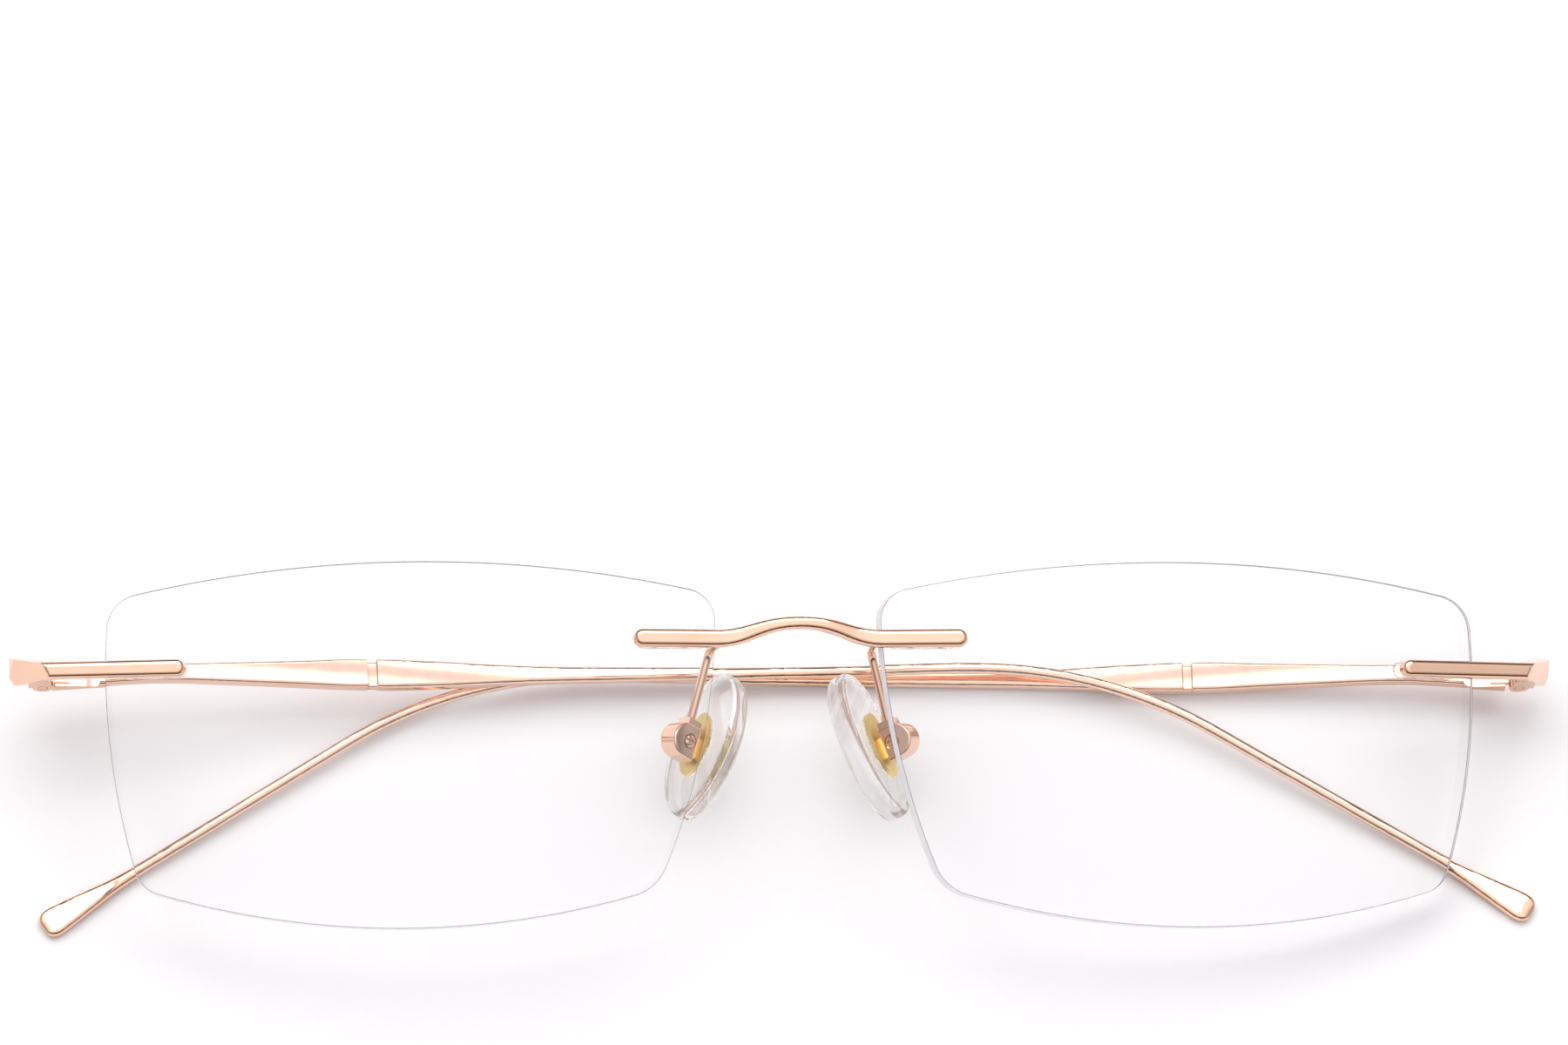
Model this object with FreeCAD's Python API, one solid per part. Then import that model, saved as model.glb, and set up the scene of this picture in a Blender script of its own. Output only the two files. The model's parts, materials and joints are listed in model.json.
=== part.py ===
import FreeCAD, Part
import math
import os

# Rimless eyeglasses lying folded on a table, lens fronts up.
#
# Two frames are used, both in millimetres:
# - the front frame, in which everything is drawn: +X to the wearer's left, +Y up along the lens
#   plane, +Z forward out of the lenses, origin between the two lens centres;
# - the row frame: the same axes tilted so that the folded temples lie on the table at Z = 0.
# Each paired piece is drawn for the wearer's left and mirrored for the wearer's right.

# ---- driving dimensions ---------------------------------------------------------------------

lens_width = 56.0
bridge_gap = 16.0
lens_thickness = 2.0
lens_radius = 130.0  # base curve of the lens front
lens_wrap = 4.5  # degrees that each lens turns back towards its temple

# lens outline from its centre: x towards the temple, y up
corner_top_nasal = (-28.1, 13.8)
corner_top_temporal = (27.7, 13.5)
corner_low_temporal = (24.9, -13.1)
corner_low_nasal = (-22.5, -13.4)
crown_top = (0.0, 16.8)
crown_temporal = (27.7, 0.6)
crown_low = (1.0, -17.0)
crown_nasal = (-26.9, 0.3)
fillet_top_nasal = 3.0
fillet_top_temporal = 3.4
fillet_low_temporal = 3.2
fillet_low_nasal = 4.5

mount_reach = 24.1  # distance from the lens centre to the middle of each mount
hole_spacing = 2.8
hole_radius = 0.70
tube_radius = 0.68
stud_radius = 0.40
stud_bore = 0.42
flange_thickness = 0.6
flange_height = 1.6
bridge_flange = (6.6, -0.25)  # length, and shift from the middle of the mount
end_flange = (6.3, -0.15)
bar_gap = 0.15  # between the lens front and the back of a bar

bridge_y = 9.62
bar_height = 1.65
bar_thickness = 1.4
bar_edge = 0.52
arm_half_length = 3.85
arch_rise = 1.40
arch_forward = 0.7
arch_height = 1.2

end_y = 7.1
end_arm_height = 1.6
end_thickness = 1.25
end_arm_edge = 0.50
end_arm_inner = -3.55  # inner end of the arm from the middle of its mount
wall_x = 72.0  # outermost point of the end piece
wall_back = -12.05
wall_thickness = 1.45
wall_end = 1.0  # the wall's back end, behind the hinge axis
wall_rise = 1.0  # how far the wall grows above and below the arm
wall_drop = 0.12
facet_top_x = 69.6
facet_low_x = 68.8

pantoscopic = 15.75  # degrees between the lens plane and the hinge axis
hinge_x = 69.0
hinge_y = 6.9
hinge_z = -11.1
barrel_radius = 0.95
knuckle_height = 0.66
knuckle_gap = 0.05
hinge_bore = 0.46
hinge_pin = 0.42
screw_head = 0.68
leaf_length = 5.4
leaf_height = 1.2

temple_offset = 1.6  # temple centreline outside the hinge axis
temple_lift = 1.02  # temple centreline above the middle of the hinge
temple_rise = 0.73  # degrees that the temple climbs from the square to the hinge axis
root_length = 13.0  # the temple's end sinks towards the hinge over this length
root_drop = 0.45
temple_start = 1.15
temple_end = 144.6
bend_at = 99.0
bend_radius = 41.6
bend_drop = 33.1  # degrees
bow_start = 34.0  # the temple bows inwards over this stretch
bow_length = 30.0
bow_angle = 4.65  # degrees
groove_at = 31.0
groove_width = 0.75
spigot_radius = 0.45
spigot_length = 3.0
fold_left = 4.70  # degrees short of square when folded; the left temple lies lowest
fold_right = 3.23

pad_centre = (8.58, 0.43, -9.62)  # middle of the insert
pad_long = 14.6
pad_wide = 8.2
pad_thick = 2.2
pad_up = (-0.33, 0.92, -0.20)
pad_outward = (0.82, 0.0, 0.57)
pad_above = 0.4  # middle of the silicone above the middle of the insert
lug_below = 0.45  # middle of the lug and its box below it
insert_long = 6.4
insert_wide = 3.2
insert_thick = 0.7
lug_thick = 0.8
lug_height = 2.0
lug_reach = 2.7
box_height = 3.2
box_width = 2.1
box_reach = 3.7  # from the pad's outer face to the rounded end
box_near = 0.8
screw_x = 1.8  # pad screw from the pad's outer face
collar_x = 1.65
slot_width = 0.9
pad_screw_radius = 0.40
pad_screw_bore = 0.42
pad_screw_head = 0.62
pad_wire = 0.8

front_tilt = 20.5  # degrees: brow side up
front_roll = 1.48  # degrees: the wearer's right side is higher

X = FreeCAD.Vector(1, 0, 0)
Y = FreeCAD.Vector(0, 1, 0)
Z = FreeCAD.Vector(0, 0, 1)


# ---- helpers --------------------------------------------------------------------------------

def vec(x, y, z=0.0):
    return FreeCAD.Vector(x, y, z)


def unit(v):
    return FreeCAD.Vector(v).normalize()


def axes_placement(origin, x_axis, y_axis):
    """The placement that carries the X, Y and Z axes to x_axis, y_axis and their cross product."""
    rotation = FreeCAD.Rotation(x_axis, y_axis, x_axis.cross(y_axis), "ZXY")
    return FreeCAD.Placement(origin, rotation)


def placed(shape, placement):
    moved = shape.copy()
    moved.Placement = placement.multiply(moved.Placement)
    return moved


def mirrored(shape):
    return shape.mirror(vec(0, 0, 0), X)


def cylinder(radius, start, end):
    return Part.makeCylinder(radius, (end - start).Length, start, end - start)


def box(centre_x, centre_y, centre_z, size_x, size_y, size_z):
    corner = vec(centre_x - size_x / 2, centre_y - size_y / 2, centre_z - size_z / 2)
    return Part.makeBox(size_x, size_y, size_z, corner)


def prism(points, depth_start, depth_end):
    """A closed outline of (x, y) points, run along Z."""
    wire = Part.makePolygon([vec(x, y, depth_start) for x, y in points + points[:1]])
    return Part.Face(wire).extrude(Z * (depth_end - depth_start))


def edges_where(shape, test):
    return [edge for edge in shape.Edges if test(edge.CenterOfMass, edge)]


def rounded_section(centre, tall, deep, height, thickness, radius):
    """A rounded rectangle: height along tall, thickness along deep."""
    a = height / 2
    b = thickness / 2
    k = radius * (1 - math.sqrt(0.5))
    corners = [
        ((a, b - radius), (a - k, b - k), (a - radius, b)),
        ((-a + radius, b), (-a + k, b - k), (-a, b - radius)),
        ((-a, -b + radius), (-a + k, -b + k), (-a + radius, -b)),
        ((a - radius, -b), (a - k, -b + k), (a, -b + radius)),
    ]
    points = [[centre + tall * x + deep * y for x, y in corner] for corner in corners]
    edges = []
    for i, (start, middle, end) in enumerate(points):
        edges.append(Part.Arc(start, middle, end).toShape())
        edges.append(Part.LineSegment(end, points[(i + 1) % 4][0]).toShape())
    return Part.Wire(edges)


def between(stations, at):
    """Linear interpolation in a list of (position, value, value, ...)."""
    for low, high in zip(stations, stations[1:]):
        if at <= high[0]:
            t = (at - low[0]) / (high[0] - low[0])
            return [p + (q - p) * t for p, q in zip(low[1:], high[1:])]
    return list(stations[-1][1:])


def bezier(start, lead, trail, end, t):
    """A cubic curve of one coordinate at t from 0 to 1."""
    s = 1 - t
    return start * s**3 + 3 * lead * s * s * t + 3 * trail * s * t * t + end * t**3


# ---- lens and its mounts --------------------------------------------------------------------

lens_centre_x = bridge_gap / 2 + lens_width / 2
lens_placement = FreeCAD.Placement(
    vec(lens_centre_x, 0, 0), FreeCAD.Rotation(Y, lens_wrap)
)


def mount_placement(reach, height):
    """On the lens front, X along the surface towards the temple and Z out of it."""
    sag = lens_radius - math.sqrt(lens_radius**2 - reach**2 - height**2)
    turn = FreeCAD.Rotation(Y, math.degrees(math.asin(reach / lens_radius)))
    return lens_placement.multiply(FreeCAD.Placement(vec(reach, height, -sag), turn))


bridge_mount = mount_placement(-mount_reach, bridge_y)
end_mount = mount_placement(mount_reach, end_y)


def hole_places():
    return [-hole_spacing / 2, hole_spacing / 2]


def lens_outline():
    corners = [corner_top_nasal, corner_top_temporal, corner_low_temporal, corner_low_nasal]
    crowns = [crown_top, crown_temporal, crown_low, crown_nasal]
    edges = []
    for i, crown in enumerate(crowns):
        start = corners[i]
        end = corners[(i + 1) % 4]
        edges.append(Part.Arc(vec(*start), vec(*crown), vec(*end)).toShape())
    return Part.Wire(edges)


def make_lens():
    """A shell of even thickness, cut to the outline, with four drilled holes."""
    depth = 12.0
    blank = Part.Face(lens_outline()).extrude(Z * 2 * depth)
    blank.translate(-Z * depth)
    fillets = [
        (corner_top_nasal, fillet_top_nasal),
        (corner_top_temporal, fillet_top_temporal),
        (corner_low_temporal, fillet_low_temporal),
        (corner_low_nasal, fillet_low_nasal),
    ]
    for (x, y), radius in fillets:
        edges = edges_where(blank, lambda c, e: (c - vec(x, y, 0)).Length < 0.01)
        blank = blank.makeFillet(radius, edges)
    centre = vec(0, 0, -lens_radius)
    reach = math.radians(11)
    arcs = []
    for radius in (lens_radius, lens_radius - lens_thickness):
        low = vec(0, -radius * math.sin(reach), radius * math.cos(reach)) + centre
        high = vec(0, radius * math.sin(reach), radius * math.cos(reach)) + centre
        arcs.append((low, vec(0, 0, radius) + centre, high))
    outer, inner = arcs
    profile = Part.Wire([
        Part.Arc(*outer).toShape(),
        Part.LineSegment(outer[2], inner[2]).toShape(),
        Part.Arc(inner[2], inner[1], inner[0]).toShape(),
        Part.LineSegment(inner[0], outer[0]).toShape(),
    ])
    sweep = 32.0
    section = Part.Face(profile)
    section.rotate(centre, Y, -sweep / 2)
    shell = section.revolve(centre, Y, sweep)
    lens = placed(blank.common(shell), lens_placement)
    for mount in (bridge_mount, end_mount):
        for x in hole_places():
            hole = cylinder(hole_radius, vec(x, 0, -5), vec(x, 0, 5))
            lens = lens.cut(placed(hole, mount))
    return lens


def stadium(length, height, start, thickness):
    """A flat plate with round ends, centred on the origin, from Z = start."""
    r = height / 2
    half = length / 2 - r
    wire = Part.Wire([
        Part.LineSegment(vec(-half, -r), vec(half, -r)).toShape(),
        Part.Arc(vec(half, -r), vec(half + r, 0), vec(half, r)).toShape(),
        Part.LineSegment(vec(half, r), vec(-half, r)).toShape(),
        Part.Arc(vec(-half, r), vec(-half - r, 0), vec(-half, -r)).toShape(),
    ])
    plate = Part.Face(wire).extrude(Z * thickness)
    plate.translate(Z * start)
    return plate


def make_sleeve(mount, length, shift):
    """Clear double sleeve: a flange behind the lens and two tubes through it."""
    back = -lens_thickness - 0.2
    flange = stadium(length, flange_height, back - flange_thickness, flange_thickness)
    flange.translate(X * shift)
    rim = edges_where(flange, lambda c, e: c.z < back - flange_thickness + 0.01)
    sleeve = flange.makeFillet(0.2, rim)
    for x in hole_places():
        tube = cylinder(tube_radius, vec(x, 0, back - 0.01), vec(x, 0, -0.12))
        sleeve = sleeve.fuse(tube)
    for x in hole_places():
        bore = cylinder(stud_bore, vec(x, 0, back - flange_thickness - 1), vec(x, 0, 1))
        sleeve = sleeve.cut(bore)
    return placed(sleeve.removeSplitter(), mount)


def make_studs(mount):
    """Two studs brazed behind a bar, pressed into the sleeve."""
    tip = -lens_thickness - flange_thickness - 0.5
    studs = []
    for x in hole_places():
        stud = cylinder(stud_radius, vec(x, 0, tip), vec(x, 0, bar_gap))
        end = edges_where(stud, lambda c, e: c.z < tip + 0.01 and len(e.Vertexes) == 1)
        studs.append(placed(stud.makeFillet(0.15, end), mount))
    return studs


# ---- bridge ---------------------------------------------------------------------------------

def bridge_sections():
    """Stations from the end of one arm to the middle: point, tangent, height, thickness."""
    middle = bar_gap + bar_thickness / 2
    inner = bridge_mount.multVec(vec(-arm_half_length, 0, middle))
    outer = bridge_mount.multVec(vec(arm_half_length - bar_height / 2, 0, middle))
    slope = (inner - outer).normalize()
    stations = [(outer, slope, bar_height, bar_thickness)]
    steps = 12
    previous = None
    for i in range(steps + 1):
        t = i / steps
        lead = inner + slope * 3.2
        trail_x = 3.8
        x = bezier(inner.x, lead.x, trail_x, 0.0, t)
        y = bezier(inner.y, lead.y, bridge_y + arch_rise, bridge_y + arch_rise, t)
        z = bezier(inner.z, lead.z, inner.z + arch_forward, inner.z + arch_forward, t)
        height = bezier(bar_height, bar_height, arch_height, arch_height, t)
        stations.append([vec(x, y, z), None, height, bar_thickness])
    for i in range(1, len(stations)):
        before = stations[i - 1][0]
        after = stations[min(i + 1, len(stations) - 1)][0]
        if i == 1:
            stations[i][1] = slope
        elif i == len(stations) - 1:
            stations[i][1] = -X
        else:
            stations[i][1] = (after - before).normalize()
    return stations


def section_at(point, tangent, height, thickness, radius):
    tall = Y - tangent * Y.dot(tangent)
    tall.normalize()
    return rounded_section(point, tall, tangent.cross(tall), height, thickness, radius)


def round_end(point, tangent, height, thickness, radius):
    """Half turn of a bar's section about its own thickness direction: a rounded bar end."""
    tall = Y - tangent * Y.dot(tangent)
    tall.normalize()
    deep = tangent.cross(tall)
    face = Part.Face(rounded_section(point, tall, deep, height, thickness, radius))
    size = 10.0
    keep = Part.makeBox(size, size, size, vec(0, -size / 2, -size / 2))
    keep = placed(keep, axes_placement(point, tall, deep))
    half = face.common(keep)
    return half.revolve(point, deep, 180)


def make_bridge():
    stations = bridge_sections()
    wires = [section_at(*station, bar_edge) for station in stations]
    arm = Part.makeLoft(wires[:2], True, True)
    other = [mirrored(wire) for wire in reversed(wires[1:-1])]
    arch = Part.makeLoft(wires[1:] + other, True, False)
    outer, slope, height, thickness = stations[0]
    cap = round_end(outer, -slope, height, thickness, bar_edge)
    if cap.BoundBox.XMax < outer.x + height / 4:
        cap = round_end(outer, slope, height, thickness, bar_edge)
    bridge = arch.fuse([arm, cap, mirrored(arm), mirrored(cap)])
    return bridge.removeSplitter()


# ---- end piece ------------------------------------------------------------------------------

def make_end_piece():
    """Arm on the lens front, a slanted facet at the corner, and a wall back to the hinge."""
    top = bar_gap + end_thickness
    inner_low = end_mount.multVec(vec(end_arm_inner, 0, bar_gap))
    inner_high = end_mount.multVec(vec(end_arm_inner, 0, top))
    corner = end_mount.multVec(vec(11.5, 0, top))
    hollow = end_mount.multVec(vec(8.2, 0, bar_gap))
    outline = [
        (inner_low.x, inner_low.z),
        (hollow.x, hollow.z),
        (wall_x - wall_thickness, wall_back),
        (wall_x - wall_thickness, wall_back - 2),
        (wall_x, wall_back - 2),
        (wall_x, wall_back),
        (corner.x, corner.z),
        (inner_high.x, inner_high.z),
    ]
    plan = prism(outline, -4, 4)
    upright = axes_placement(vec(0, end_y, 0), X, Z)
    plan = placed(plan, upright)
    half = end_arm_height / 2
    flare = hollow.z
    side = prism(
        [
            (end_y - half, 5),
            (end_y + half, 5),
            (end_y + half, flare),
            (end_y + half + wall_rise, wall_back - 1),
            (end_y - half - wall_drop, wall_back - 1),
            (end_y - half, flare),
        ],
        50,
        80,
    )
    side = placed(side, axes_placement(vec(0, 0, 0), Y, Z))
    piece = plan.common(side)
    facet = [
        vec(facet_top_x, end_y + half, front_z(facet_top_x)),
        vec(facet_low_x, end_y - half, front_z(facet_low_x)),
        vec(wall_x, end_y, wall_back),
    ]
    beyond = placed(box(5 + wall_end, 0, 0, 10, 20, 20), temple_open)
    turning = placed(knuckle(barrel_radius + 0.1, -3, 6), temple_open)
    piece = piece.cut([beyond, turning])
    normal = unit((facet[1] - facet[0]).cross(facet[2] - facet[0]))
    if normal.x < 0:
        normal = -normal
    size = 30.0
    waste = Part.makeBox(size, size, size, vec(-size / 2, -size / 2, 0))
    waste.Placement = FreeCAD.Placement(facet[0], FreeCAD.Rotation(Z, normal))
    piece = piece.cut(waste)
    end_face = edges_where(
        piece,
        lambda c, e: c.x < inner_high.x + 0.3 and abs(abs(c.y - end_y) - half) < 0.01
        and len(e.Vertexes) == 2 and abs(e.Length - end_thickness) < 0.05,
    )
    piece = piece.makeFillet(half - 0.02, end_face)
    front_edges = edges_where(piece, lambda c, e: is_front_edge(c))
    return piece.makeFillet(end_arm_edge, front_edges)


def front_z(x):
    """Height of the arm's front surface at x."""
    low = end_mount.multVec(vec(0, 0, bar_gap + end_thickness))
    high = end_mount.multVec(vec(10, 0, bar_gap + end_thickness))
    return low.z + (high.z - low.z) * (x - low.x) / (high.x - low.x)


def is_front_edge(c):
    return c.x < facet_low_x + 0.6 and c.z > front_z(c.x) - 0.15


# ---- hinge ----------------------------------------------------------------------------------

hinge_up = vec(0, math.cos(math.radians(pantoscopic)), -math.sin(math.radians(pantoscopic)))
open_back = vec(0, -math.sin(math.radians(pantoscopic)), -math.cos(math.radians(pantoscopic)))
hinge_origin = vec(hinge_x, hinge_y, hinge_z)

# The temple frame: X along the temple, Y up the hinge axis, Z to the outside.
temple_open = axes_placement(hinge_origin, open_back, hinge_up)


def temple_folded(short_of_square):
    angle = math.radians(short_of_square)
    along = open_back * math.sin(angle) - X * math.cos(angle)
    return axes_placement(hinge_origin, along, hinge_up)


barrel_height = 3 * knuckle_height + 2 * knuckle_gap


def knuckle(radius, start, height):
    return Part.makeCylinder(radius, height, vec(0, start, 0), Y)


def make_hinge_front(end_piece):
    """Two outer knuckles on a block that is brazed inside the wall."""
    low = -barrel_height / 2
    block_length = 1.7
    block_width = 1.95
    middle = block_width / 2 - 0.6
    parts = []
    for start in (low, low + 2 * (knuckle_height + knuckle_gap)):
        parts.append(knuckle(barrel_radius, start, knuckle_height))
        y = start + knuckle_height / 2
        parts.append(box(-block_length / 2, y, middle, block_length, knuckle_height, block_width))
    plate_length = block_length - barrel_radius - 0.08
    plate_x = -block_length + plate_length / 2
    parts.append(box(plate_x, 0, middle, plate_length, barrel_height, block_width))
    hinge = parts[0].fuse(parts[1:])
    hinge = hinge.cut(knuckle(hinge_bore, low - 1, barrel_height + 2))
    sink = Part.makeCone(hinge_bore, screw_head + 0.03, 0.36, vec(0, -low - 0.36, 0), Y)
    hinge = hinge.cut(sink)
    return placed(hinge, temple_open).cut(end_piece).removeSplitter()


def make_hinge_screw():
    """Countersunk slotted screw that pins the three knuckles."""
    high = barrel_height / 2
    shank = knuckle(hinge_pin, -high, barrel_height)
    head = Part.makeCone(hinge_pin, screw_head, 0.33, vec(0, high - 0.33, 0), Y)
    screw = shank.fuse(head)
    slot = box(0, high, 0, 3, 0.3, 0.22)
    return placed(screw.cut(slot).removeSplitter(), temple_open)


def make_hinge_rear():
    """Middle knuckle on a leaf that is brazed inside the temple."""
    inner_face = temple_offset - 0.65
    body = knuckle(barrel_radius, -knuckle_height / 2, knuckle_height)
    neck = box(1.3, 0, inner_face - 0.4, 2.6, knuckle_height, 0.8)
    leaf_start = temple_start + 0.1
    leaf_middle = (leaf_start + leaf_length) / 2
    leaf = box(leaf_middle, 0, inner_face - 0.25, leaf_length - leaf_start, leaf_height, 0.5)
    ends = edges_where(leaf, lambda c, e: c.x > leaf_length - 0.01 and abs(c.z - inner_face + 0.25) < 0.01)
    leaf = leaf.makeFillet(leaf_height / 2 - 0.05, ends)
    hinge = body.fuse([neck, leaf])
    return hinge.cut(knuckle(hinge_bore, -3, 6)).removeSplitter()


# ---- temple ---------------------------------------------------------------------------------

# distance from the hinge, height, thickness, edge radius
temple_sizes = [
    (temple_start, 2.40, 1.30, 0.28),
    (5.0, 2.20, 1.30, 0.28),
    (10.0, 1.75, 1.30, 0.28),
    (14.0, 1.72, 1.33, 0.30),
    (21.0, 2.15, 1.38, 0.32),
    (27.0, 2.62, 1.42, 0.34),
    (30.0, 2.75, 1.44, 0.34),
    (33.0, 2.75, 1.44, 0.34),
    (37.5, 2.48, 1.40, 0.36),
    (42.0, 1.95, 1.34, 0.38),
    (46.0, 1.64, 1.28, 0.40),
    (52.0, 1.45, 1.22, 0.44),
    (60.0, 1.25, 1.14, 0.46),
    (70.0, 1.05, 1.05, 0.48),
    (134.0, 1.05, 1.05, 0.48),
    (136.5, 1.20, 1.08, 0.46),
    (139.0, 1.75, 1.12, 0.44),
    (141.5, 2.38, 1.14, 0.44),
    (143.3, 2.76, 1.12, 0.44),
    (144.1, 2.56, 1.00, 0.44),
    (144.4, 2.10, 0.80, 0.36),
    (temple_end, 1.50, 0.50, 0.22),
]


def temple_point(distance):
    """Point and tangent of the temple's centreline in the temple frame."""
    turn = math.radians(bend_drop)
    straight = bend_at - bend_radius * math.tan(turn / 2)
    curve = bend_radius * turn
    angle = min(max((distance - straight) / bend_radius, 0.0), turn)
    before = min(distance, straight)
    after = max(distance - straight - curve, 0.0)
    u = before + bend_radius * math.sin(angle) + after * math.cos(angle)
    v = -bend_radius * (1 - math.cos(angle)) - after * math.sin(angle)
    along = min(max(u - bow_start, 0.0), bow_length)
    beyond = max(u - bow_start - bow_length, 0.0)
    slope = math.radians(bow_angle) * along / bow_length
    w = temple_offset - slope * along / 2 - slope * beyond
    rise = FreeCAD.Rotation(Z, temple_rise)
    root = max(0.0, 1 - distance / root_length) ** 2
    lift = vec(0, temple_lift - root_drop * root, 0)
    point = rise.multVec(vec(u, v, w)) + lift
    tangent = rise.multVec(unit(vec(math.cos(angle), -math.sin(angle), -slope * math.cos(angle))))
    return point, tangent


def temple_section(distance):
    height, thickness, radius = between(temple_sizes, distance)
    point, tangent = temple_point(distance)
    tall = unit(vec(-tangent.y, tangent.x, 0))
    return rounded_section(point, tall, tangent.cross(tall), height, thickness, radius)


def make_temple_front():
    end = groove_at - groove_width / 2
    distances = [temple_start, 3.0, 5.0, 7.5, 10.0, 14.0, 18.0, 22.0, 26.0, end - 0.12]
    body = Part.makeLoft([temple_section(d) for d in distances], True, False)
    height, thickness, radius = between(temple_sizes, end)
    point, tangent = temple_point(end)
    tall = Y - tangent * Y.dot(tangent)
    last = rounded_section(
        point, tall, tangent.cross(tall), height - 0.2, thickness - 0.2, radius
    )
    lip = Part.makeLoft([temple_section(end - 0.12), last], True, True)
    return body.fuse(lip).cut(spigot())


def spigot():
    end = groove_at - groove_width / 2
    start, _ = temple_point(end - spigot_length)
    stop, _ = temple_point(groove_at)
    return cylinder(spigot_radius, start, stop)


def make_temple_rear():
    """Neck in the groove, body tapering to wire, the bend, and the paddle tip."""
    begin = groove_at + groove_width / 2
    distances = [begin + 0.12, 33.5, 36.0, 38.5, 41.0, 43.5, 46.0, 52.0, 60.0, 70.0, 79.0]
    distances += [88.0 + 4.0 * i for i in range(8)]
    distances += [124.0, 131.0, 134.0, 135.5, 137.0, 138.5, 140.0, 141.5, 142.6, 143.4]
    distances += [144.0, 144.4, temple_end]
    body = Part.makeLoft([temple_section(d) for d in distances], True, False)
    height, thickness, radius = between(temple_sizes, begin)
    point, tangent = temple_point(begin)
    tall = Y - tangent * Y.dot(tangent)
    deep = tangent.cross(tall)
    first = rounded_section(point, tall, deep, height - 0.2, thickness - 0.2, radius)
    lip = Part.makeLoft([first, temple_section(begin + 0.12)], True, True)
    low = temple_point(begin - groove_width)[0] - Y * 0.12
    high = temple_point(begin + 0.5)[0] - Y * 0.12
    neck = Part.makeLoft(
        [
            rounded_section(low, tall, deep, height - 0.25, thickness - 0.5, 0.25),
            rounded_section(high, tall, deep, height - 0.25, thickness - 0.5, 0.25),
        ],
        True,
        True,
    )
    return body.fuse([lip, neck, spigot()]).removeSplitter()


# ---- nose pad and its arm -------------------------------------------------------------------

def pad_placement():
    """The pad frame: X outward off the nose, Y up the pad, Z to the front; origin in the
    pad's outer face, at the middle of the insert."""
    up = unit(vec(*pad_up))
    outward = vec(*pad_outward)
    outward = unit(outward - up * outward.dot(up))
    return axes_placement(vec(*pad_centre), outward, up)


def lug_placement():
    return pad_placement().multiply(FreeCAD.Placement(vec(0, -lug_below, 0), FreeCAD.Rotation()))


def oval(length, width, start, end):
    """An elliptical plate across X, longer along Y."""
    ellipse = Part.Ellipse(vec(0, 0, 0), length / 2, width / 2).toShape()
    plate = Part.Face(Part.Wire([ellipse])).extrude(Z * (end - start))
    return placed(plate, axes_placement(vec(start, 0, 0), Y, Z))


def make_pad_insert():
    """Gold plate moulded into the pad, with the lug that the box holds."""
    plate = oval(insert_long, insert_wide, -0.35, -0.35 + insert_thick)
    lug = box(lug_reach / 2, 0, 0, lug_reach, lug_height, lug_thick)
    tip = edges_where(lug, lambda c, e: c.x > lug_reach - 0.01 and abs(abs(c.y) - lug_height / 2) < 0.01)
    lug = lug.makeFillet(0.8, tip)
    lug = lug.cut(cylinder(pad_screw_bore, vec(screw_x, 0, -3), vec(screw_x, 0, 3)))
    lug.translate(-Y * lug_below)
    return plate.fuse(lug).removeSplitter()


def make_nose_pad():
    """A domed oval of silicone with the insert's pocket in its outer face."""
    body = oval(pad_long, pad_wide, -pad_thick, 0)
    body = body.makeFillet(0.75, body.Edges)
    body.translate(Y * pad_above)
    return body.cut(oval(insert_long, insert_wide, -0.35, 1))


def make_pad_box():
    """A small clevis: flat towards the pad, round outside, slotted for the lug."""
    near = box_near
    r = box_height / 2
    outline = Part.Wire([
        Part.LineSegment(vec(near, r), vec(near, -r)).toShape(),
        Part.LineSegment(vec(near, -r), vec(box_reach - r, -r)).toShape(),
        Part.Arc(vec(box_reach - r, -r), vec(box_reach, 0), vec(box_reach - r, r)).toShape(),
        Part.LineSegment(vec(box_reach - r, r), vec(near, r)).toShape(),
    ])
    body = Part.Face(outline).extrude(Z * box_width)
    body.translate(-Z * box_width / 2)
    rims = edges_where(body, lambda c, e: abs(abs(c.z) - box_width / 2) < 0.01)
    body = body.makeFillet(0.2, rims)
    collar = box(collar_x, r + 0.2, 0, 1.5, 0.8, 1.5)
    body = body.fuse(collar)
    body = body.cut(box(near + 1.05, 0, 0, 2.4, lug_height + 0.5, slot_width))
    hole = cylinder(pad_screw_bore, vec(screw_x, 0, -3), vec(screw_x, 0, 3))
    sink = cylinder(pad_screw_head + 0.13, vec(screw_x, 0, box_width / 2 - 0.3), vec(screw_x, 0, 3))
    return body.cut(hole).cut(sink).removeSplitter()


def make_pad_screw():
    """Slotted cheese head screw through the box and the lug."""
    front = box_width / 2
    head = cylinder(pad_screw_head, vec(screw_x, 0, front - 0.28), vec(screw_x, 0, front + 0.2))
    rim = edges_where(head, lambda c, e: c.z > front + 0.19)
    head = head.makeFillet(0.3, rim)
    shank = cylinder(pad_screw_radius, vec(screw_x, 0, -front), vec(screw_x, 0, front - 0.2))
    slot = box(screw_x, 0, front + 0.2, 3, 0.24, 0.4)
    return head.fuse(shank).cut(slot).removeSplitter()


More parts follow.
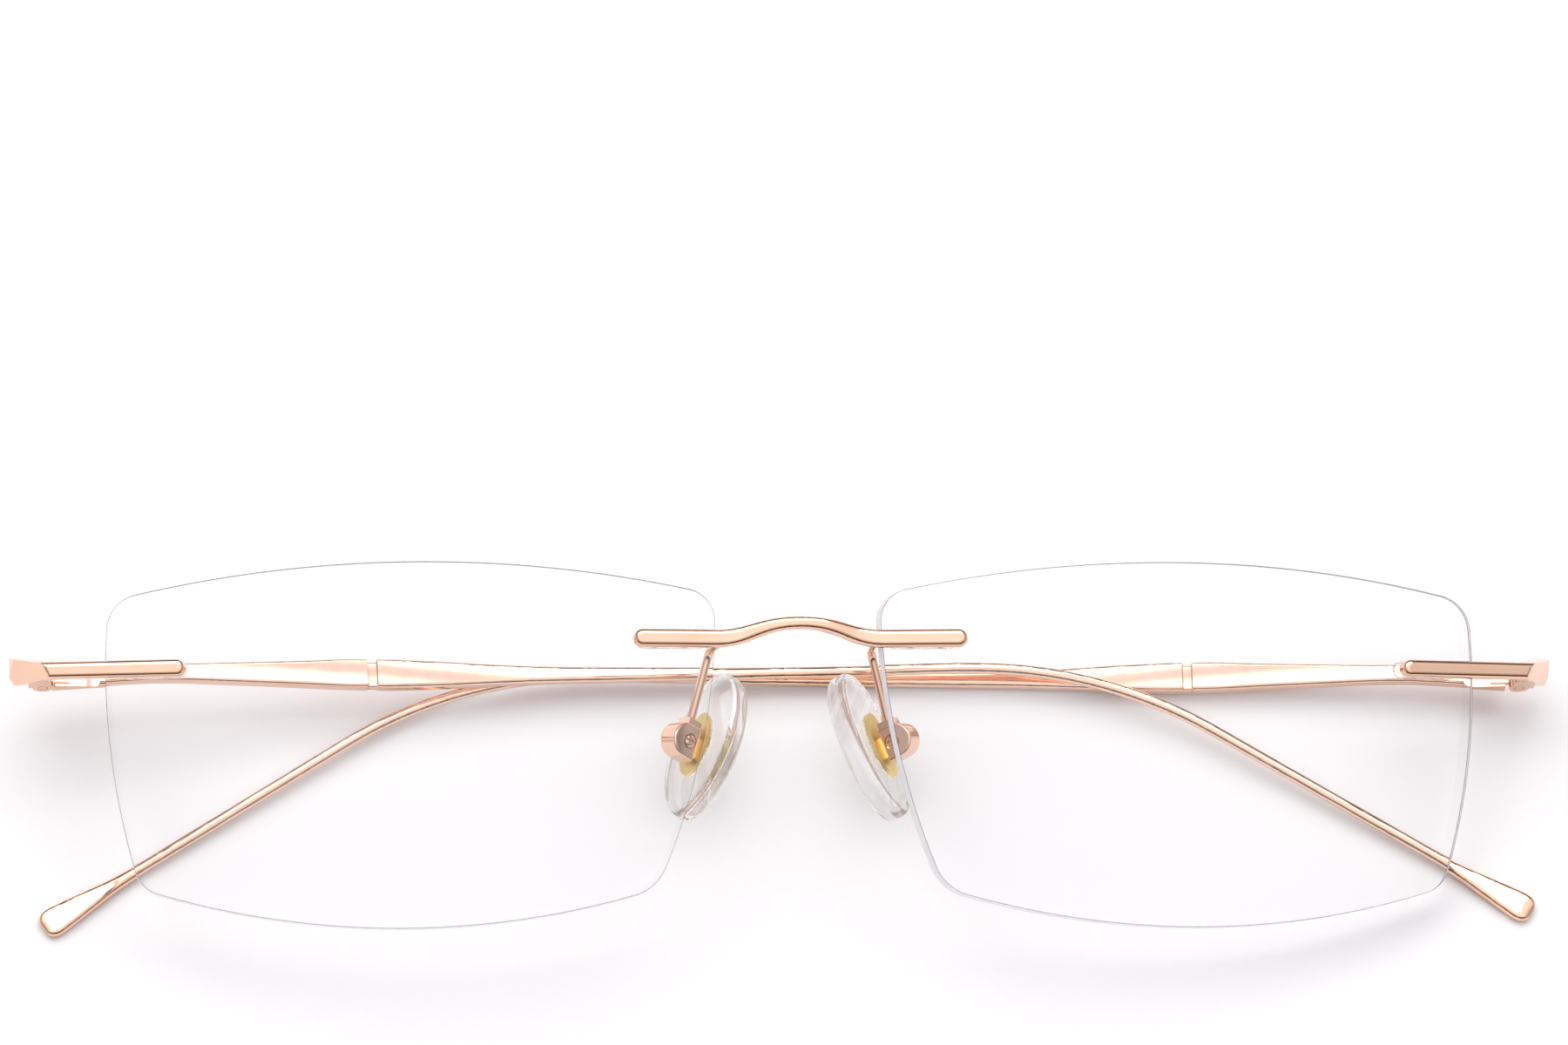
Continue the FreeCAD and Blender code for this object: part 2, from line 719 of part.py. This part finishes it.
def make_pad_arm(bridge, pad_box, lug_frame):
    """Wire from behind the bridge, back past the lens, then down into the box's collar."""
    start = vec(7.0, bridge_y - 0.05, -0.3)
    knee = vec(7.6, bridge_y - 0.5, -7.8)
    end = lug_frame.multVec(vec(collar_x, box_height / 2 + 0.3, 0))
    radius = 1.3
    first = unit(start - knee)
    second = unit(end - knee)
    half = first.getAngle(second) / 2
    reach = radius / math.tan(half)
    inner = unit(first + second)
    arc_centre = knee + inner * (radius / math.sin(half))
    arc_middle = arc_centre - inner * radius
    bend_in = knee + first * reach
    bend_out = knee + second * reach
    path = Part.Wire([
        Part.LineSegment(start, bend_in).toShape(),
        Part.Arc(bend_in, arc_middle, bend_out).toShape(),
        Part.LineSegment(bend_out, end).toShape(),
    ])
    ring = Part.Wire([Part.makeCircle(pad_wire / 2, start, knee - start)])
    wire = path.makePipeShell([ring], True, True)
    return wire.cut(bridge).cut(pad_box)


# ---- assembly -------------------------------------------------------------------------------

def rest_placement():
    """Tilts the front frame so that the folded temples lie flat on the table."""
    tilt = FreeCAD.Rotation(X, front_tilt)
    roll = FreeCAD.Rotation(Y, front_roll)
    return FreeCAD.Placement(vec(0, 0, 0), roll.multiply(tilt))


def make_pairs():
    """The pieces of the wearer's left, in the front frame, by name."""
    bridge = make_bridge()
    end_piece = make_end_piece()
    pad_frame = pad_placement()
    lug_frame = lug_placement()
    pad_box = placed(make_pad_box(), lug_frame)
    pairs = {
        "lens": make_lens(),
        "bridge_sleeve": make_sleeve(bridge_mount, *bridge_flange),
        "end_sleeve": make_sleeve(end_mount, *end_flange),
        "end_studs": Part.makeCompound(make_studs(end_mount)),
        "end_piece": end_piece,
        "hinge_front": make_hinge_front(end_piece),
        "hinge_screw": make_hinge_screw(),
        "pad_arm": make_pad_arm(bridge, pad_box, lug_frame),
        "pad_box": pad_box,
        "pad_insert": placed(make_pad_insert(), pad_frame),
        "pad_screw": placed(make_pad_screw(), lug_frame),
        "nose_pad": placed(make_nose_pad(), pad_frame),
    }
    return bridge, pairs


def make_temple():
    """The moving pieces of one side, in the temple frame, by name."""
    front = make_temple_front()
    return {
        "hinge_rear": make_hinge_rear().cut(front),
        "temple_front": front,
        "temple_rear": make_temple_rear().cut(front),
    }


def build():
    bridge, pairs = make_pairs()
    nodes = {"bridge": bridge}
    studs = make_studs(bridge_mount)
    nodes["bridge_studs"] = Part.makeCompound(studs + [mirrored(stud) for stud in studs])
    for name, shape in pairs.items():
        nodes[name + "_left"] = shape
        nodes[name + "_right"] = mirrored(shape)
    for name, shape in make_temple().items():
        nodes[name + "_left"] = placed(shape, temple_folded(fold_left))
        nodes[name + "_right"] = mirrored(placed(shape, temple_folded(fold_right)))
    tilted = {name: placed(shape, rest_placement()) for name, shape in nodes.items()}
    extent = Part.makeCompound(list(tilted.values())).optimalBoundingBox(False, False)
    to_origin = vec(-extent.Center.x, -extent.Center.y, -extent.ZMin)
    for shape in tilted.values():
        shape.translate(to_origin)
    return tilted, to_origin


nodes, to_origin = build()
os.makedirs("parts", exist_ok=True)
for name, shape in nodes.items():
    shape.exportStep("parts/" + name + ".step")
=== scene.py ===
import json
import math

import bpy
from mathutils import Matrix, Vector

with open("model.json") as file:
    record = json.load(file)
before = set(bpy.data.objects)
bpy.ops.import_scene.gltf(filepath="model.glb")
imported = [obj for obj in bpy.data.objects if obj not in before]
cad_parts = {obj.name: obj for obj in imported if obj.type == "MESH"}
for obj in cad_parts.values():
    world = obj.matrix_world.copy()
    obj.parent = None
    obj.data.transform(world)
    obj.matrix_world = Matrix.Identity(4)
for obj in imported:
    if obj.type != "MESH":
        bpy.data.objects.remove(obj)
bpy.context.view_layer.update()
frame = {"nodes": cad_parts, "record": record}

nodes = frame["nodes"]

# direction that the lens fronts face, in the row's frame
LENS_AXIS = (0.024, -0.350, 0.936)


# ---- node helpers ---------------------------------------------------------------------------

def new_material(name):
    material = bpy.data.materials.new(name)
    material.use_nodes = True
    tree = material.node_tree
    tree.nodes.clear()
    return material, tree


def add(tree, kind, **inputs):
    """Adds a node; each keyword is an input's name with _ for a space."""
    node = tree.nodes.new(kind)
    for key, value in inputs.items():
        node.inputs[key.replace("_", " ")].default_value = value
    return node


def link(tree, source, target):
    tree.links.new(source, target)


def object_coordinates(tree, stretch=(1, 1, 1)):
    source = tree.nodes.new("ShaderNodeTexCoord")
    mapping = add(tree, "ShaderNodeMapping", Scale=stretch)
    link(tree, source.outputs["Object"], mapping.inputs["Vector"])
    return mapping.outputs["Vector"]


def noise(tree, vector, scale, detail):
    node = add(tree, "ShaderNodeTexNoise", Scale=scale, Detail=detail, Roughness=0.55)
    link(tree, vector, node.inputs["Vector"])
    return node.outputs["Fac"]


def ramp(tree, factor, stops):
    node = tree.nodes.new("ShaderNodeValToRGB")
    elements = node.color_ramp.elements
    for i, (position, color) in enumerate(stops):
        element = elements[i] if i < 2 else elements.new(position)
        element.position = position
        element.color = (*color, 1.0)
    link(tree, factor, node.inputs["Fac"])
    return node.outputs["Color"]


def map_range(tree, value, **limits):
    node = add(tree, "ShaderNodeMapRange", **limits)
    link(tree, value, node.inputs["Value"])
    return node.outputs["Result"]


def between(tree, factor, low, high):
    return map_range(tree, factor, To_Min=low, To_Max=high)


def bump(tree, height, strength, distance, previous=None):
    node = add(tree, "ShaderNodeBump", Strength=strength, Distance=distance)
    link(tree, height, node.inputs["Height"])
    if previous is not None:
        link(tree, previous, node.inputs["Normal"])
    return node.outputs["Normal"]


def math_node(tree, operation, *values):
    node = tree.nodes.new("ShaderNodeMath")
    node.operation = operation
    for value, socket in zip(values, node.inputs):
        link(tree, value, socket)
    return node.outputs["Value"]


def dot_product(tree):
    node = tree.nodes.new("ShaderNodeVectorMath")
    node.operation = "DOT_PRODUCT"
    return node


def mixed(tree, factor, first, second):
    node = tree.nodes.new("ShaderNodeMixShader")
    link(tree, factor, node.inputs["Fac"])
    link(tree, first, node.inputs[1])
    link(tree, second, node.inputs[2])
    return node.outputs["Shader"]


def transparent(tree, color):
    return add(tree, "ShaderNodeBsdfTransparent", Color=(*color, 1.0)).outputs["BSDF"]


def output(tree, surface):
    node = tree.nodes.new("ShaderNodeOutputMaterial")
    link(tree, surface, node.inputs["Surface"])


def across(tree, axis):
    """1 on faces that run along the axis, 0 on faces that look along it."""
    source = tree.nodes.new("ShaderNodeTexCoord")
    product = dot_product(tree)
    product.inputs[1].default_value = axis
    link(tree, source.outputs["Normal"], product.inputs[0])
    size = math_node(tree, "ABSOLUTE", product.outputs["Value"])
    return map_range(tree, size, From_Min=0.6, From_Max=0.4)


def sharp_edges(tree, radius):
    """1 within a radius of a sharp edge, 0 elsewhere."""
    bevel = add(tree, "ShaderNodeBevel", Radius=radius)
    bevel.samples = 6
    geometry = tree.nodes.new("ShaderNodeNewGeometry")
    product = dot_product(tree)
    link(tree, bevel.outputs["Normal"], product.inputs[0])
    link(tree, geometry.outputs["Normal"], product.inputs[1])
    return map_range(tree, product.outputs["Value"], From_Min=0.99, From_Max=0.93)


# ---- materials ------------------------------------------------------------------------------

def polished_metal(name, tones, roughness, grain):
    """Plated, polished metal: a faint drift of tone, uneven polish, and hair-fine scratches."""
    material, tree = new_material(name)
    vector = object_coordinates(tree)
    shader = add(
        tree, "ShaderNodeBsdfPrincipled",
        Metallic=1.0, IOR=1.5, Coat_Weight=0.12, Coat_Roughness=0.04,
    )
    drift = noise(tree, vector, 260.0, 3.0)
    link(tree, ramp(tree, drift, [(0.3, tones[0]), (0.7, tones[1])]), shader.inputs["Base Color"])
    polish = noise(tree, vector, 900.0, 5.0)
    link(tree, between(tree, polish, *roughness), shader.inputs["Roughness"])
    scratches = noise(tree, object_coordinates(tree, (1.0, 14.0, 14.0)), 2600.0, 2.0)
    normal = bump(tree, scratches, grain, 0.00001)
    waves = noise(tree, vector, 420.0, 2.0)
    normal = bump(tree, waves, grain * 1.5, 0.00003, normal)
    link(tree, normal, shader.inputs["Normal"])
    output(tree, shader.outputs["BSDF"])
    return material


def clear_solid(name, color, ior, roughness, shade, grain, haze=0.0, edge=None, rim=None):
    """Clear glass, plastic or silicone that lets most of the light through to the table.

    shade is the tone of its shadow; haze is the share of light that goes straight through, as
    in a thin soft moulding; edge is the radius and tone of a dark line of painted shade along
    sharp edges; rim is the axis of a lens and the tone of the shadow of its cut, frosted rim."""
    material, tree = new_material(name)
    vector = object_coordinates(tree)
    shader = add(
        tree, "ShaderNodeBsdfPrincipled",
        IOR=ior, Base_Color=(*color, 1.0), Transmission_Weight=1.0,
    )
    smears = noise(tree, vector, 120.0, 4.0)
    link(tree, between(tree, smears, *roughness), shader.inputs["Roughness"])
    ripple = noise(tree, vector, 500.0, 2.0)
    link(tree, bump(tree, ripple, grain, 0.00002), shader.inputs["Normal"])
    surface = shader.outputs["BSDF"]
    through = transparent(tree, (shade,) * 3)
    if haze:
        cloud = between(tree, noise(tree, vector, 300.0, 2.0), haze - 0.06, haze + 0.06)
        surface = mixed(tree, cloud, surface, transparent(tree, color))
    if rim:
        axis, rim_shade = rim
        frosted = add(
            tree, "ShaderNodeBsdfPrincipled",
            Roughness=0.55, IOR=ior, Base_Color=(0.86, 0.86, 0.88, 1.0), Transmission_Weight=0.45,
        )
        surface = mixed(tree, across(tree, axis), surface, frosted.outputs["BSDF"])
        through = mixed(tree, across(tree, axis), through, transparent(tree, rim_shade))
    if edge:
        radius, tone = edge
        # painted shade: a rough near-black band along sharp edges stands in for the dark edge
        # lines of a lens
        edge_shade = add(tree, "ShaderNodeBsdfPrincipled", Roughness=0.5, Base_Color=(*tone, 1.0))
        surface = mixed(tree, sharp_edges(tree, radius), surface, edge_shade.outputs["BSDF"])
    # a ray that lights something else goes straight through, so nothing is lit twice
    path = tree.nodes.new("ShaderNodeLightPath")
    lighting = math_node(
        tree, "MAXIMUM", path.outputs["Is Shadow Ray"], path.outputs["Is Reflection Ray"]
    )
    output(tree, mixed(tree, lighting, surface, through))
    return material


rose_gold = polished_metal(
    "rose_gold", ((0.88, 0.56, 0.40), (0.90, 0.60, 0.44)), (0.07, 0.12), 0.03
)
yellow_gold = polished_metal(
    "yellow_gold", ((0.99, 0.80, 0.36), (1.0, 0.85, 0.44)), (0.36, 0.48), 0.12
)
# the lens's edge argument paints a near-black line of shade along its sharp edges
lens_glass = clear_solid(
    "lens_glass", (0.985, 0.99, 0.99), 1.5, (0.0, 0.004), shade=0.97, grain=0.0,
    edge=(0.00015, (0.11, 0.10, 0.12)), rim=(LENS_AXIS, (0.35, 0.33, 0.38)),
)
sleeve_plastic = clear_solid(
    "sleeve_plastic", (0.97, 0.975, 0.975), 1.47, (0.02, 0.08), shade=0.90, grain=0.05, haze=0.35
)
silicone = clear_solid(
    "silicone", (1.0, 1.0, 1.0), 1.41, (0.01, 0.04), shade=0.94, grain=0.05, haze=0.20
)

material_of_slot = {
    "frame_metal": rose_gold,
    "insert": yellow_gold,
    "lens": lens_glass,
    "sleeve": sleeve_plastic,
    "pad": silicone,
}
for part in frame["record"]["subparts"]:
    for slot in nodes[part["node"]].material_slots:
        slot.material = material_of_slot[part["material_slot"]]


# ---- table, light and camera ----------------------------------------------------------------

def make_table():
    half = 3.0
    mesh = bpy.data.meshes.new("table")
    corners = [(-half, -half, 0), (half, -half, 0), (half, half, 0), (-half, half, 0)]
    mesh.from_pydata(corners, [], [(0, 1, 2, 3)])
    table = bpy.data.objects.new("table", mesh)
    bpy.context.scene.collection.objects.link(table)
    material, tree = new_material("table_white")
    shader = add(
        tree, "ShaderNodeBsdfPrincipled", Roughness=0.75, Specular_IOR_Level=0.1
    )
    grain = noise(tree, object_coordinates(tree), 1400.0, 3.0)
    tones = [(0.3, (0.905, 0.905, 0.915)), (0.7, (0.915, 0.915, 0.925))]
    link(tree, ramp(tree, grain, tones), shader.inputs["Base Color"])
    output(tree, shader.outputs["BSDF"])
    mesh.materials.append(material)


def make_key_light():
    """A large soft box above and behind the glasses."""
    location = Vector((-0.10, 0.50, 0.80))
    target = Vector((0.0, 0.0, 0.01))
    data = bpy.data.lights.new("key", "AREA")
    data.shape = "RECTANGLE"
    data.size = 1.3
    data.size_y = 0.8
    data.energy = 5.6
    data.color = (1.0, 0.99, 0.975)
    light = bpy.data.objects.new("key", data)
    bpy.context.scene.collection.objects.link(light)
    light.location = location
    light.rotation_euler = (location - target).to_track_quat("Z", "Y").to_euler()


def make_world():
    """A light tent: white above, dark low in front and behind, lit low at both sides."""
    tent = [
        (0.0, (0.03, 0.02, 0.02)),
        (0.32, (0.05, 0.04, 0.04)),
        (0.52, (0.21, 0.19, 0.18)),
        (0.72, (0.50, 0.49, 0.50)),
        (0.88, (0.68, 0.67, 0.69)),
        (1.0, (0.78, 0.77, 0.79)),
    ]
    side_tone = (0.30, 0.285, 0.285, 1.0)
    world = bpy.data.worlds.new("tent")
    bpy.context.scene.world = world
    world.use_nodes = True
    tree = world.node_tree
    tree.nodes.clear()
    source = tree.nodes.new("ShaderNodeTexCoord")
    split = tree.nodes.new("ShaderNodeSeparateXYZ")
    link(tree, source.outputs["Generated"], split.inputs["Vector"])
    overhead = ramp(tree, split.outputs["Z"], tent)
    aside = math_node(tree, "ABSOLUTE", split.outputs["X"])
    reach = map_range(tree, aside, From_Min=0.60, From_Max=0.95)
    sides = tree.nodes.new("ShaderNodeMix")
    sides.data_type = "RGBA"
    sides.inputs["B"].default_value = side_tone
    link(tree, reach, sides.inputs["Factor"])
    link(tree, overhead, sides.inputs["A"])
    background = add(tree, "ShaderNodeBackground", Strength=1.80)
    link(tree, sides.outputs["Result"], background.inputs["Color"])
    out = tree.nodes.new("ShaderNodeOutputWorld")
    link(tree, background.outputs["Background"], out.inputs["Surface"])


def make_camera():
    """Looks down on the table from the wearer's right, turned slightly about its own axis."""
    swing = math.radians(-6.07)
    height = math.radians(64.28)
    roll = math.radians(-0.56)
    aim = Vector((0.00073, 0.02536, 0.007))
    distance = 1.455
    back = Vector((
        math.sin(swing),
        -math.cos(swing) * math.cos(height),
        math.cos(swing) * math.sin(height),
    ))
    right = (Vector((1, 0, 0)) - back * back.x).normalized()
    up = back.cross(right)
    right = math.cos(roll) * right + math.sin(roll) * up
    up = back.cross(right)
    data = bpy.data.cameras.new("camera")
    data.lens = 358.7
    data.sensor_width = 36.0
    data.clip_start = 0.01
    camera = bpy.data.objects.new("camera", data)
    bpy.context.scene.collection.objects.link(camera)
    rotation = Matrix((right, up, back)).transposed().to_4x4()
    camera.matrix_world = Matrix.Translation(aim + back * distance) @ rotation
    bpy.context.scene.camera = camera


make_table()
make_world()
make_key_light()
make_camera()
bpy.context.scene.view_settings.view_transform = "Standard"
